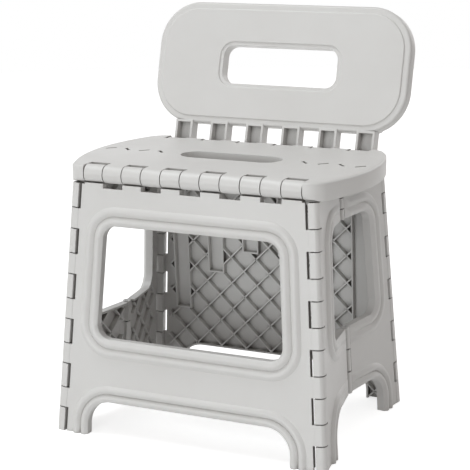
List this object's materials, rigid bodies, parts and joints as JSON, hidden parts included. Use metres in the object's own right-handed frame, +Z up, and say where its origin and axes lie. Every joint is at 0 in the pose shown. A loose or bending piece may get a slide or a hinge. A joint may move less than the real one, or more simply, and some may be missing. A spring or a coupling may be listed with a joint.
{
  "type": "folding stool with backrest",
  "caption": "Moulded plastic folding stool with hinged side panels, a lift-up seat with a hand slot and a fold-down backrest.",
  "frame": {"origin": "on the floor, under the middle of the whole object's box", "axes": "+Z up, +Y from the front panel towards the backrest, +X to the right seen from the front"},
  "size_m": [0.306, 0.269, 0.4169],
  "materials": {
    "grey_plastic": "satin",
    "pin_plastic": "satin"
  },
  "bodies": {
    "front": {"front_panel": "grey_plastic", "seat_hinge_pin": "pin_plastic", "front_left_corner_pin": "pin_plastic", "front_right_corner_pin": "pin_plastic"},
    "left_front": {"left_front_side": "grey_plastic", "left_upper_middle_pin": "pin_plastic", "left_lower_middle_pin": "pin_plastic"},
    "left_rear": {"left_rear_side": "grey_plastic"},
    "rear": {"rear_panel": "grey_plastic", "rear_left_corner_pin": "pin_plastic", "rear_right_corner_pin": "pin_plastic"},
    "right_front": {"right_front_side": "grey_plastic", "right_upper_middle_pin": "pin_plastic", "right_lower_middle_pin": "pin_plastic"},
    "right_rear": {"right_rear_side": "grey_plastic"},
    "seat": {"seat": "grey_plastic", "backrest_hinge_pin": "pin_plastic"},
    "backrest": {"backrest": "grey_plastic"}
  },
  "joints": [
    {"name": "seat_lift", "type": "hinge", "parent": "front", "child": "seat", "pos_m": [0, -0.10826, 0.266], "axis": [1, 0, 0], "range_deg": [0, 90]},
    {"name": "backrest_fold", "type": "hinge", "parent": "seat", "child": "backrest", "pos_m": [0, 0.06774, 0.266], "axis": [1, 0, 0], "range_deg": [0, 105]},
    {"name": "left_front_corner", "type": "hinge", "parent": "front", "child": "left_front", "pos_m": [-0.143, -0.12776, 0], "axis": [0.0659, 0.0659, 0.9957], "range_deg": [-67.5, 0]},
    {"name": "left_middle", "type": "hinge", "parent": "left_front", "child": "left_rear", "pos_m": [-0.131, -0.02026, 0], "axis": [0.0587, 0, 0.9983], "range_deg": [0, 134.59]},
    {"name": "left_rear_corner", "type": "hinge", "parent": "left_rear", "child": "rear", "pos_m": [-0.143, 0.08724, 0], "axis": [0.0659, -0.0659, 0.9957], "range_deg": [-67.5, 0]},
    {"name": "right_front_corner", "type": "hinge", "parent": "front", "child": "right_front", "pos_m": [0.143, -0.12776, 0], "axis": [-0.0659, 0.0659, 0.9957], "range_deg": [0, 67.5]},
    {"name": "right_middle", "type": "hinge", "parent": "right_front", "child": "right_rear", "pos_m": [0.131, -0.02026, 0], "axis": [-0.0587, 0, 0.9983], "range_deg": [-134.59, 0]}
  ],
  "couplings": [
    {"joint": "left_front_corner", "follows": "seat_lift", "ratio": -0.75},
    {"joint": "left_middle", "follows": "seat_lift", "ratio": 1.4954},
    {"joint": "left_rear_corner", "follows": "seat_lift", "ratio": -0.74989},
    {"joint": "right_front_corner", "follows": "seat_lift", "ratio": 0.75},
    {"joint": "right_middle", "follows": "seat_lift", "ratio": -1.4954}
  ]
}
